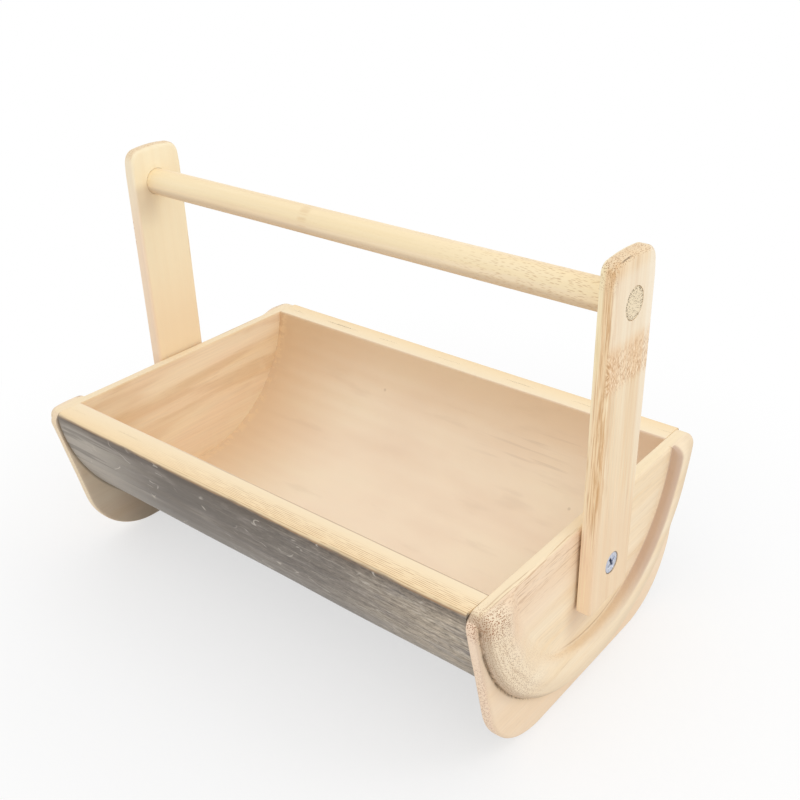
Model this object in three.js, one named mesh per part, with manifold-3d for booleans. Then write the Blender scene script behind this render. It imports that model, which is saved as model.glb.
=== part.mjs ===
// Bamboo carrying tray: a split culm closed by two footed end boards, with a handle that
// swings fore and aft on one screw at each end.
// Millimetres. +X runs along the culm, -Y is the front, +Z is up, and the origin is on the
// ground under the middle of the tray.
import * as THREE from "three";
import { mergeVertices, toCreasedNormals } from "three/addons/utils/BufferGeometryUtils.js";
import Module from "manifold-3d";

// Culm: one internode of thick bamboo, sawn lengthwise a little below its axis
const culmRadius = 85.5;
const culmWall = 14.5;
const culmAxisAboveRail = 5;
const troughLength = 250;
const railOuterEase = 2.5;
const railInnerEase = 0.8;

// End boards: a flat plate that stands on the ground, and a bead that follows the culm
const groundClearance = 5.5;
const plateThickness = 5.5;
const plateEdgeEase = 0.8;
const plateOverhang = 2.5;
const plateTopCorner = 6;
const plateSideLean = THREE.MathUtils.degToRad(12.5);
const footCorner = 38;
const beadHeight = 5.5;
const beadWidth = 19.5;
const beadInnerEase = 2.4;
const beadOuterRound = 14;
const beadOuterWall = 1.5;
const beadEndRound = 5;

// Handle: two flat arms and a round bar that passes through both
const pivotBelowRail = 22;
const barAbovePivot = 117.5;
const barDiameter = 13.2;
const armWidth = 32;
const armThickness = 6.6;
const armAboveBar = 20;
const armBelowPivot = 19;
const armTopCorner = 4.5;
const armTopCrown = 0.6;
const armEdgeEase = 0.8;

// Pivot hardware: a countersunk screw in the plate and a washer behind each arm
const screwDiameter = 4.5;
const screwHeadDiameter = 10;
const screwHeadLip = 0.4;
const screwHeadSink = 0.15;
const screwPoint = 1.4;
const screwTipCover = 0.8;
const screwCrossLength = 5.4;
const screwCrossWidth = 1.2;
const screwCrossDepth = 1.9;
const washerDiameter = 11;
const washerThickness = 0.8;

// Blind pegs across each joint between the culm's end and a board
const pegsPerEnd = 4;
const pegDiameter = 5;
const pegInCulm = 12;
const pegCover = 3.5;
const pegChamfer = 0.7;
const pegFirstAngle = THREE.MathUtils.degToRad(25);

// Clearances
const glueGap = 0.2;
const fitGap = 0.3;
const washerGap = 0.2;

// Facets
const culmSteps = 48;
const cornerSteps = 10;
const beadSteps = 6;
const easeSteps = 2;
const barSteps = 32;
const smallSteps = 20;
const creaseAngle = THREE.MathUtils.degToRad(30);
const cutMargin = 5;

// Sizes that follow from the ones above
const railHeight = groundClearance + culmRadius - culmAxisAboveRail;
const culmAxisHeight = railHeight + culmAxisAboveRail;
const culmInnerRadius = culmRadius - culmWall;
const culmHalfChord = Math.sqrt(culmRadius ** 2 - culmAxisAboveRail ** 2);
const plateInnerX = troughLength / 2;
const plateOuterX = plateInnerX + plateThickness;
const plateHalfWidth = culmHalfChord + plateOverhang;
const beadInnerRadius = culmRadius - beadWidth;
const pivotHeight = railHeight - pivotBelowRail;
const barHeight = pivotHeight + barAbovePivot;
const armTopHeight = barHeight + armAboveBar;
const armBottomHeight = pivotHeight - armBelowPivot;
const armInnerX = plateOuterX + washerThickness + 2 * washerGap;
const armOuterX = armInnerX + armThickness;
const screwRadius = screwDiameter / 2;
const screwHeadRadius = screwHeadDiameter / 2;
const screwTipX = plateInnerX + screwTipCover;
const screwTopX = armOuterX - screwHeadSink;
const pegRadius = pegDiameter / 2;
const pegRingRadius = culmRadius - culmWall / 2;
const pegInBoard = plateThickness + beadHeight - pegCover;

// Finishes
const bambooSkin = new THREE.MeshStandardMaterial({ color: 0x9a8f80, roughness: 0.6, metalness: 0 });
const bambooBoard = new THREE.MeshStandardMaterial({ color: 0xecd2a8, roughness: 0.55, metalness: 0 });
const bambooSlat = new THREE.MeshStandardMaterial({ color: 0xecd0a0, roughness: 0.55, metalness: 0 });
const bambooRod = new THREE.MeshStandardMaterial({ color: 0xeacb98, roughness: 0.5, metalness: 0 });
const bambooPeg = new THREE.MeshStandardMaterial({ color: 0xd9bb86, roughness: 0.7, metalness: 0 });
const zincSteel = new THREE.MeshStandardMaterial({ color: 0xb4b8c4, roughness: 0.35, metalness: 1 });

const wasm = await Module();
wasm.setup();

// A closed geometry as a solid that can be joined and cut
function solid(geometry) {
  const bare = geometry.clone();
  bare.deleteAttribute("normal");
  bare.deleteAttribute("uv");
  const merged = mergeVertices(bare);
  return new wasm.Manifold(
    new wasm.Mesh({
      numProp: 3,
      vertProperties: merged.attributes.position.array,
      triVerts: new Uint32Array(merged.index.array),
    }),
  );
}

// A solid's surface as a geometry, smooth on the rounds and sharp at the edges
function surface(body) {
  const { vertProperties, triVerts } = body.getMesh();
  const geometry = new THREE.BufferGeometry();
  geometry.setAttribute("position", new THREE.BufferAttribute(vertProperties, 3));
  geometry.setIndex(new THREE.BufferAttribute(triVerts, 1));
  return toCreasedNormals(geometry, creaseAngle);
}

function arc(x, y, radius, from, to, steps) {
  return new THREE.EllipseCurve(x, y, radius, radius, from, to, to < from).getPoints(steps);
}

// An outline drawn in (y, z), extruded along +X from x = start, with its long edges eased
function slab(outline, start, thickness, ease = 0, steps = easeSteps) {
  const geometry = new THREE.ExtrudeGeometry(new THREE.Shape(outline), {
    depth: thickness - 2 * ease,
    bevelEnabled: ease > 0,
    bevelThickness: ease,
    bevelSize: ease,
    bevelOffset: -ease,
    bevelSegments: steps,
  });
  const xAlongThickness = new THREE.Matrix4().makeBasis(
    new THREE.Vector3(0, 1, 0),
    new THREE.Vector3(0, 0, 1),
    new THREE.Vector3(1, 0, 0),
  );
  return geometry.translate(0, 0, start + ease).applyMatrix4(xAlongThickness);
}

// A profile of [radius, x] points turned about the X axis
function turned(profile, steps) {
  const points = profile.map(([radius, x]) => new THREE.Vector2(radius, x));
  return new THREE.LatheGeometry(points, steps).rotateZ(-Math.PI / 2);
}

function rod(radius, fromX, toX, steps) {
  const profile = [
    [0, fromX],
    [radius, fromX],
    [radius, toX],
    [0, toX],
  ];
  return turned(profile, steps);
}

// Centres of the peg holes at one end, on the middle of the culm's wall
function pegPlaces() {
  const spread = Math.PI - 2 * pegFirstAngle;
  return Array.from({ length: pegsPerEnd }, (_, i) => {
    const angle = Math.PI + pegFirstAngle + (spread * i) / (pegsPerEnd - 1);
    const y = pegRingRadius * Math.cos(angle);
    const z = culmAxisHeight + pegRingRadius * Math.sin(angle);
    return new THREE.Vector3(0, y, z);
  });
}

function cutPegHoles(body, fromX, toX) {
  return pegPlaces().reduce((rest, { y, z }) => {
    const hole = rod(pegRadius + fitGap, fromX, toX, smallSteps).translate(0, y, z);
    return rest.subtract(solid(hole));
  }, body);
}

// Section of the culm in (y, z) about its axis: two arcs joined by the flat, eased rails
function culmSection() {
  const outerCentreZ = -culmAxisAboveRail - railOuterEase;
  const outerCentreY = Math.sqrt((culmRadius - railOuterEase) ** 2 - outerCentreZ ** 2);
  const outerAngle = Math.atan2(outerCentreZ, outerCentreY);
  const innerCentreZ = -culmAxisAboveRail - railInnerEase;
  const innerCentreY = Math.sqrt((culmInnerRadius + railInnerEase) ** 2 - innerCentreZ ** 2);
  const innerAngle = Math.atan2(-innerCentreZ, innerCentreY);
  const up = Math.PI / 2;
  return [
    ...arc(0, 0, culmRadius, outerAngle, -Math.PI - outerAngle, culmSteps),
    ...arc(-outerCentreY, outerCentreZ, railOuterEase, Math.PI - outerAngle, up, easeSteps).slice(1),
    ...arc(-innerCentreY, innerCentreZ, railInnerEase, up, innerAngle, easeSteps),
    ...arc(0, 0, culmInnerRadius, Math.PI + innerAngle, 2 * Math.PI - innerAngle, culmSteps).slice(1),
    ...arc(innerCentreY, innerCentreZ, railInnerEase, Math.PI - innerAngle, up, easeSteps).slice(1),
    ...arc(outerCentreY, outerCentreZ, railOuterEase, up, outerAngle, easeSteps).slice(0, -1),
  ];
}

function culmTrough() {
  const halfLength = troughLength / 2 - glueGap;
  const section = culmSection();
  let body = solid(slab(section, -halfLength, 2 * halfLength).translate(0, 0, culmAxisHeight));
  const depth = halfLength - pegInCulm - fitGap;
  body = cutPegHoles(body, depth, halfLength + cutMargin);
  body = cutPegHoles(body, -halfLength - cutMargin, -depth);
  return surface(body);
}

// Outline of an end board in (y, z): straight top, sides that lean in, round feet, flat base
function boardOutline() {
  const baseHalfWidth = plateHalfWidth - railHeight * Math.tan(plateSideLean);
  const footReach = footCorner * Math.tan((Math.PI / 2 - plateSideLean) / 2);
  const footY = baseHalfWidth - footReach;
  const topReach = plateTopCorner * Math.tan((Math.PI / 2 + plateSideLean) / 2);
  const topY = plateHalfWidth - topReach;
  const topZ = railHeight - plateTopCorner;
  const lean = plateSideLean;
  return [
    ...arc(topY, topZ, plateTopCorner, Math.PI / 2, -lean, cornerSteps),
    ...arc(footY, footCorner, footCorner, -lean, -Math.PI / 2, cornerSteps),
    ...arc(-footY, footCorner, footCorner, 1.5 * Math.PI, Math.PI + lean, cornerSteps),
    ...arc(-topY, topZ, plateTopCorner, Math.PI + lean, Math.PI / 2, cornerSteps),
  ];
}

// Profile of the bead as [radius, x]: upright on the recess side, rounded over outwards
function beadProfile() {
  const rootX = plateInnerX + plateThickness / 2;
  const crestX = plateOuterX + beadHeight;
  const innerEase = arc(
    beadInnerRadius + beadInnerEase,
    crestX - beadInnerEase,
    beadInnerEase,
    Math.PI,
    Math.PI / 2,
    easeSteps,
  );
  const outerRound = new THREE.EllipseCurve(
    culmRadius - beadOuterRound,
    plateOuterX + beadOuterWall,
    beadOuterRound,
    beadHeight - beadOuterWall,
    Math.PI / 2,
    0,
    true,
  ).getPoints(beadSteps);
  const crest = [...innerEase, ...outerRound].map(({ x, y }) => [x, y]);
  const root = [beadInnerRadius, rootX];
  return [root, [culmRadius, rootX], ...crest.reverse(), root];
}

function endBoard() {
  const outline = boardOutline();
  const plate = solid(slab(outline, plateInnerX, plateThickness, plateEdgeEase));
  const ring = solid(turned(beadProfile(), 2 * culmSteps).translate(0, 0, culmAxisHeight));
  const boardThickness = plateThickness + beadHeight;
  const trim = solid(slab(outline, plateInnerX, boardThickness, beadEndRound, beadSteps));
  const pilot = rod(screwRadius + fitGap, screwTipX - fitGap, plateOuterX + cutMargin, smallSteps);
  const body = plate
    .add(ring.intersect(trim))
    .subtract(solid(pilot.translate(0, 0, pivotHeight)));
  return surface(cutPegHoles(body, plateInnerX - cutMargin, plateInnerX + pegInBoard + fitGap));
}

// One peg, on the X axis, across the joint at the plate's inner face
function jointPeg() {
  const fromX = plateInnerX - glueGap - pegInCulm;
  const toX = plateInnerX + pegInBoard;
  const profile = [
    [0, fromX],
    [pegRadius - pegChamfer, fromX],
    [pegRadius, fromX + pegChamfer],
    [pegRadius, toX - pegChamfer],
    [pegRadius - pegChamfer, toX],
    [0, toX],
  ];
  return turned(profile, smallSteps);
}

// Outline of an arm in (y, z): square foot, straight sides, rounded and slightly crowned top
function armOutline() {
  const side = armWidth / 2;
  const shoulderZ = armTopHeight - armTopCrown;
  const crown = new THREE.QuadraticBezierCurve(
    new THREE.Vector2(side - armTopCorner, shoulderZ),
    new THREE.Vector2(0, shoulderZ + 2 * armTopCrown),
    new THREE.Vector2(armTopCorner - side, shoulderZ),
  ).getPoints(cornerSteps);
  const cornerZ = shoulderZ - armTopCorner;
  return [
    new THREE.Vector2(-side, armBottomHeight),
    new THREE.Vector2(side, armBottomHeight),
    ...arc(side - armTopCorner, cornerZ, armTopCorner, 0, Math.PI / 2, cornerSteps).slice(0, -1),
    ...crown,
    ...arc(armTopCorner - side, cornerZ, armTopCorner, Math.PI / 2, Math.PI, cornerSteps).slice(1),
  ];
}

function handleArm() {
  const fromX = armInnerX - cutMargin;
  const toX = armOuterX + cutMargin;
  const barHole = rod(barDiameter / 2 + fitGap, fromX, toX, barSteps);
  const screwHole = rod(screwRadius + fitGap, fromX, toX, smallSteps);
  const sinkRadius = screwHeadRadius + fitGap;
  const sinkBottomX = screwTopX - screwHeadLip - sinkRadius;
  const countersink = turned(
    [
      [0, sinkBottomX],
      [sinkRadius, screwTopX - screwHeadLip],
      [sinkRadius, toX],
      [0, toX],
    ],
    smallSteps,
  );
  const body = solid(slab(armOutline(), armInnerX, armThickness, armEdgeEase))
    .subtract(solid(barHole.translate(0, 0, barHeight)))
    .subtract(solid(screwHole.translate(0, 0, pivotHeight)))
    .subtract(solid(countersink.translate(0, 0, pivotHeight)));
  return surface(body);
}

function handleBar() {
  return rod(barDiameter / 2, -armOuterX, armOuterX, barSteps).translate(0, 0, barHeight);
}

// Countersunk screw with a cross recess, its head just below the arm's outer face
function pivotScrew() {
  const neckX = screwTopX - screwHeadLip - (screwHeadRadius - screwRadius);
  const profile = [
    [0, screwTipX],
    [screwRadius / 2, screwTipX],
    [screwRadius, screwTipX + screwPoint],
    [screwRadius, neckX],
    [screwHeadRadius, screwTopX - screwHeadLip],
    [screwHeadRadius, screwTopX],
    [0, screwTopX],
  ];
  const slot = new THREE.BoxGeometry(2 * screwCrossDepth, screwCrossWidth, screwCrossLength);
  slot.translate(screwTopX, 0, 0);
  const body = solid(turned(profile, smallSteps))
    .subtract(solid(slot))
    .subtract(solid(slot.clone().rotateX(Math.PI / 2)));
  return surface(body).translate(0, 0, pivotHeight);
}

function pivotWasher() {
  const fromX = plateOuterX + washerGap;
  const toX = fromX + washerThickness;
  const holeRadius = screwRadius + fitGap;
  const profile = [
    [holeRadius, fromX],
    [washerDiameter / 2, fromX],
    [washerDiameter / 2, toX],
    [holeRadius, toX],
    [holeRadius, fromX],
  ];
  return turned(profile, smallSteps).translate(0, 0, pivotHeight);
}

function part(name, geometry, material) {
  const mesh = new THREE.Mesh(geometry, material);
  mesh.name = name;
  return mesh;
}

const tray = new THREE.Group();
tray.add(part("culm_trough", culmTrough(), bambooSkin));
tray.add(part("handle_bar", handleBar(), bambooRod));

const boardGeometry = endBoard();
const armGeometry = handleArm();
const screwGeometry = pivotScrew();
const washerGeometry = pivotWasher();
const pegGeometry = jointPeg();

for (const [side, turn] of [["right", 0], ["left", Math.PI]]) {
  const end = new THREE.Group();
  end.rotation.z = turn;
  end.add(part(`end_board_${side}`, boardGeometry, bambooBoard));
  end.add(part(`handle_arm_${side}`, armGeometry, bambooSlat));
  end.add(part(`pivot_screw_${side}`, screwGeometry, zincSteel));
  end.add(part(`pivot_washer_${side}`, washerGeometry, zincSteel));
  pegPlaces().forEach((place, i) => {
    const peg = part(`joint_peg_${side}_${i + 1}`, pegGeometry, bambooPeg);
    peg.position.copy(place);
    end.add(peg);
  });
  tray.add(end);
}

export default tray;
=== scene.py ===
import bmesh
import bpy
import math
import numpy as np
from mathutils import Matrix, Vector


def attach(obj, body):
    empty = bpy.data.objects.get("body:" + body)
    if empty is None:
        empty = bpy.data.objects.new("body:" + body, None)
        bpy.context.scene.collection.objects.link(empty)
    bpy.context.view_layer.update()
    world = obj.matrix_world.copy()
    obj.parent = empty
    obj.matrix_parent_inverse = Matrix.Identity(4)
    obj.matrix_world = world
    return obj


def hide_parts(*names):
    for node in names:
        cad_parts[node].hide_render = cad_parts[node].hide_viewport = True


# Bamboo carrying tray: split culm, two footed end boards, swinging handle on two screws
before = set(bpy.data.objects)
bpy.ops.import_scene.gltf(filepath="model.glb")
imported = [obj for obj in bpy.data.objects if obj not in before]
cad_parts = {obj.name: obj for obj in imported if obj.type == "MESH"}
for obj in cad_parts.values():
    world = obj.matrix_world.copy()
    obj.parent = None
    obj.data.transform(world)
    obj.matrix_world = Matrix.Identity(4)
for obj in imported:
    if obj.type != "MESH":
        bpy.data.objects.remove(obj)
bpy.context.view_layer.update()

mm = 0.001
weld = 0.002 * mm  # seam points closer than this become one
sliver = 0.001 * mm  # shorter edges are taken out
noiseLow, noiseMean, noiseHigh = 0.3, 0.5, 0.7  # nearly all of a noise lies in this range
rng = np.random.default_rng(41)


# shared helpers

def linear(hexText):
    # sRGB to linear light: a straight toe below 0.04045, the 2.4 power curve above it
    c = np.array([int(hexText[i:i + 2], 16) for i in (1, 3, 5)]) / 255
    c = np.where(c <= 0.04045, c / 12.92, ((c + 0.055) / 1.055) ** 2.4)
    return (*c.tolist(), 1.0)


def addNode(tree, kind, inputs=None, out=0, stops=None, **settings):
    # one shader node with its settings, its inputs (a value or a socket) and its ramp stops
    node = tree.nodes.new("ShaderNode" + kind)
    for key, value in settings.items():
        setattr(node, key, value)
    for key, value in (inputs or {}).items():
        if isinstance(value, bpy.types.NodeSocket):
            tree.links.new(value, node.inputs[key])
        else:
            node.inputs[key].default_value = value
    if stops:
        elements = node.color_ramp.elements
        while len(elements) < len(stops):
            elements.new(0.5)
        for element, (place, colour) in zip(elements, stops):
            element.position = place
            element.color = linear(colour)
    return node.outputs[out] if len(node.outputs) else node


def newMaterial(name):
    material = bpy.data.materials.new(name)
    material.use_nodes = True
    material.node_tree.nodes.clear()
    return material, material.node_tree


def readPlace(tree):
    # the point on the piece in mm, its axes, and the two that match at both ends of the tray
    metres = addNode(tree, "TexCoord", out="Object")
    spot = addNode(tree, "VectorMath", {0: metres, "Scale": 1 / mm}, operation="SCALE")
    axes = addNode(tree, "SeparateXYZ", {"Vector": spot}).node.outputs
    side = addNode(tree, "Math", {0: axes["X"]}, operation="SIGN")
    return dict(
        spot=spot, x=axes["X"], y=axes["Y"], z=axes["Z"],
        out=addNode(tree, "Math", {0: axes["X"]}, operation="ABSOLUTE"),
        back=addNode(tree, "Math", {0: axes["Y"], 1: side}, operation="MULTIPLY"),
    )


def fromAxis(tree, spot, axisZ):
    # distance in mm from the line along X at height axisZ
    section = addNode(tree, "Mapping", {"Vector": spot, "Location": (0, 0, -axisZ), "Scale": (0, 1, 1)})
    return addNode(tree, "VectorMath", {0: section}, out="Value", operation="LENGTH")


def grain(axis, across, along):
    # cell size in mm along x, y and z for a pattern drawn out along one axis
    return [along if letter == axis else across for letter in "xyz"]


def pattern(tree, kind, spot, size, shift=(0, 0, 0), **inputs):
    # a texture whose unit cell measures size mm along x, y and z
    place = addNode(tree, "Mapping", {"Vector": spot, "Scale": [1 / s for s in size], "Location": shift})
    return addNode(tree, "Tex" + kind, {"Vector": place, "Scale": 1.0, **inputs})


def stainsAndPaintedLight(tree, colour, *layers):
    # layers of (strength, steps, paint) laid over each other, real stains and painted shade and light
    # alike; the mask of a layer is its strength times one smooth step for each (value, where it is 0, where
    # it is 1)
    for strength, *steps, paint in layers:
        for value, zero, full in steps:
            step = addNode(tree, "MapRange", {
                "Value": value, "From Min": zero, "From Max": full,
            }, interpolation_type="SMOOTHSTEP")
            strength = addNode(tree, "Math", {0: strength, 1: step}, operation="MULTIPLY")
        paint = linear(paint) if isinstance(paint, str) else paint
        colour = addNode(tree, "Mix", {0: strength, 6: colour, 7: paint}, out=2, data_type="RGBA")
    return colour


def drySurface(tree, colour, fine, height, rough, bump):
    # bare bamboo: a dull sheen that the fine grain breaks up, and a relief too shallow to model
    relief = addNode(tree, "Bump", {"Height": height, "Strength": bump[0], "Distance": bump[1] * mm})
    sheen = addNode(tree, "MapRange", {
        "Value": fine, "From Min": noiseLow, "From Max": noiseHigh, "To Min": rough[0], "To Max": rough[1],
    })
    shader = addNode(tree, "BsdfPrincipled", {
        "Base Color": colour, "Roughness": sheen, "Normal": relief, "IOR": 1.5, "Specular IOR Level": 0.3,
    })
    addNode(tree, "OutputMaterial", {"Surface": shader})


def gridFaces(rows, cols, closed):
    # quads of a grid numbered row by row, the last column joined to the first if closed
    r, c = np.meshgrid(np.arange(rows - 1), np.arange(cols if closed else cols - 1), indexing="ij")
    n = (c + 1) % cols
    return np.stack([r * cols + c, r * cols + n, (r + 1) * cols + n, (r + 1) * cols + c], -1).reshape(-1, 4)


def makePiece(name, grids, material, body, nodes, sharpDeg=40):
    # grids of (points in mm, closed): their seams are merged and the faces turned outwards
    points, faces, count = [], [], 0
    for grid, closed in grids:
        rows, cols = grid.shape[:2]
        points.append(grid.reshape(-1, 3) * mm)
        faces.append(gridFaces(rows, cols, closed) + count)
        count += rows * cols
    mesh = bpy.data.meshes.new(name)
    mesh.from_pydata(np.concatenate(points).tolist(), [], np.concatenate(faces).tolist())
    work = bmesh.new()
    work.from_mesh(mesh)
    bmesh.ops.remove_doubles(work, verts=work.verts, dist=weld)
    bmesh.ops.dissolve_degenerate(work, edges=work.edges, dist=sliver)
    bmesh.ops.recalc_face_normals(work, faces=work.faces)
    work.to_mesh(mesh)
    work.free()
    mesh.shade_smooth()
    mesh.set_sharp_from_angle(angle=math.radians(sharpDeg))
    mesh.materials.append(material)
    piece = bpy.data.objects.new(name, mesh)
    bpy.context.scene.collection.objects.link(piece)
    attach(piece, body)
    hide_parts(*nodes)
    print(name + ":", len(mesh.polygons), "faces")


def atSide(side, grids):
    # grids of the right end, given half a turn about the upright axis for the left one
    turn = np.array([1, 1, 1] if side == "Right" else [-1, -1, 1])
    return [(grid * turn, closed) for grid, closed in grids]


def arcPoints(cy, cz, ry, rz, startDeg, stopDeg, count):
    # points of an ellipse arc about (cy, cz)
    a = np.radians(np.linspace(startDeg, stopDeg, count))
    return np.stack([cy + ry * np.cos(a), cz + rz * np.sin(a)], -1)


def joined(*runs):
    # runs of points end to end, without the repeated joint points
    return np.concatenate([run if i == 0 else run[1:] for i, run in enumerate(runs)])


def smooth(value, zero, full):
    # 0 before zero, 1 after full, and an even S between them
    share = np.clip((value - zero) / (full - zero), 0, 1)
    return share * share * (3 - 2 * share)


def wobble(a, b, lengthA, lengthB, waves=6):
    # smooth random relief between about -1 and 1: sines of random direction and phase
    turns = rng.uniform(-1, 1, (waves, 2)) / np.array([lengthA, lengthB])
    phases = rng.uniform(0, 2 * np.pi, waves)
    total = sum(np.sin(2 * np.pi * (k[0] * a + k[1] * b) + p) for k, p in zip(turns, phases))
    return total / math.sqrt(waves)


def turnedGrid(profile, cols, centreZ):
    # profile of (radius, x) turned about a line along X at height centreZ
    a = np.linspace(0, 2 * np.pi, cols, endpoint=False)
    radius, x = profile[:, :1], profile[:, 1:]
    return np.stack([x + 0 * a, radius * np.cos(a), centreZ + radius * np.sin(a)], -1)


# bamboo culm, split and dry: grey waxy skin outside, pale fibre on the sawn rails, cream film inside

culm = dict(
    radius=85.5, wall=14.5, axisZ=91.0, axisAboveRail=5.0, outerEase=2.2, innerEase=0.8,
    innerEnd=124.99, outerEnd=124.78, gapDeep=2.0, gapFrom=-20, gapFull=-60,
    skinRelief=0.16, innerShare=0.6, flute=(9, 240), swell=(40, 70), swellShare=0.6, calmMm=12,
    railRelief=0.05, railWave=(30, 12),
    stations=131, flatCount=9, easeCount=11, wallCount=171, endRows=6,
    skinTop=84.5, skinBlend=1.1, skinFray=1.1, skinWave=2.0, lineMm=0.9, linePush=9.0,
    gritFine=0.25, gritFrom=-30.0, gritTo=110.0, gritFaint=0.3, gritStrong=2.8,
    flecks=[(88.0, 51.6, 42.3), (-39.4, 65.0, 62.4)],
)


def railToRail(d, midY, y, z, ease, easeDeg, radius, wallDeg):
    # half a flat rail, an eased edge, the round wall, and the same edge and rail on the other side
    rail, flat, bend = -d["axisAboveRail"], d["flatCount"], d["easeCount"]
    return joined(
        np.linspace((midY, rail), (y, rail), flat),
        arcPoints(y, z, ease, ease, 90, easeDeg, bend),
        arcPoints(0, 0, radius, radius, wallDeg, -180 - wallDeg, d["wallCount"]),
        arcPoints(-y, z, ease, ease, 180 - easeDeg, 90, bend),
        np.linspace((-y, rail), (-midY, rail), flat),
    )


def culmRuns(d):
    # the section about the culm's axis, as an outer and an inner run; each eased edge touches wall and rail
    rail = -d["axisAboveRail"]
    rOut, rIn = d["radius"], d["radius"] - d["wall"]
    eOut, eIn = d["outerEase"], d["innerEase"]
    outZ, inZ = rail - eOut, rail - eIn
    outY = math.sqrt((rOut - eOut) ** 2 - outZ ** 2)
    inY = math.sqrt((rIn + eIn) ** 2 - inZ ** 2)
    outDeg = math.degrees(math.atan2(outZ, outY))
    inDeg = math.degrees(math.atan2(inZ, inY))
    midY = (outY + inY) / 2
    outer = railToRail(d, midY, outY, outZ, eOut, outDeg, rOut, outDeg)
    inner = railToRail(d, midY, inY, inZ, eIn, 180 + inDeg, rIn, inDeg)
    return outer, inner


def culmGrids(d):
    # each run is carried along X; the skin is fluted along the culm and calm at both ends;
    # the wall meets the boards, but stands a hair off them at the front outside
    outer, inner = culmRuns(d)
    share = np.linspace(-1, 1, d["stations"])[:, None]
    midRadius = math.hypot(*outer[0])
    grids = []
    for run, relief in ((outer, d["skinRelief"]), (inner, d["innerShare"] * d["skinRelief"])):
        y, z = run[:, 0], run[:, 1]
        radius = np.hypot(y, z)
        off = smooth(radius, midRadius, d["radius"] - d["gapDeep"]) * smooth(y, d["gapFrom"], d["gapFull"])
        end = d["innerEnd"] + (d["outerEnd"] - d["innerEnd"]) * off
        x = share * end
        calm = np.clip((d["outerEnd"] - abs(x)) / d["calmMm"], 0, 1)
        angle = np.arctan2(-z, y) * d["radius"] + 0 * x
        waves = wobble(angle, x, *d["flute"]) + d["swellShare"] * wobble(angle, x, *d["swell"])
        out = relief * calm * waves
        onWall = (z < -d["axisAboveRail"] - 0.01).astype(float)  # a hair under the flat rail
        rail = (1 - onWall) * d["railRelief"] * wobble(x, y + 0 * x, *d["railWave"])
        grow = 1 + out * onWall / radius
        grids.append((np.stack([x, y * grow, d["axisZ"] + z * grow + rail], -1), False))
    for end in (0, -1):
        a, b = grids[0][0][end], grids[1][0][end]
        mix = np.linspace(0, 1, d["endRows"])[:, None, None]
        grids.append((a * (1 - mix) + b * mix, False))
    return grids


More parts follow.
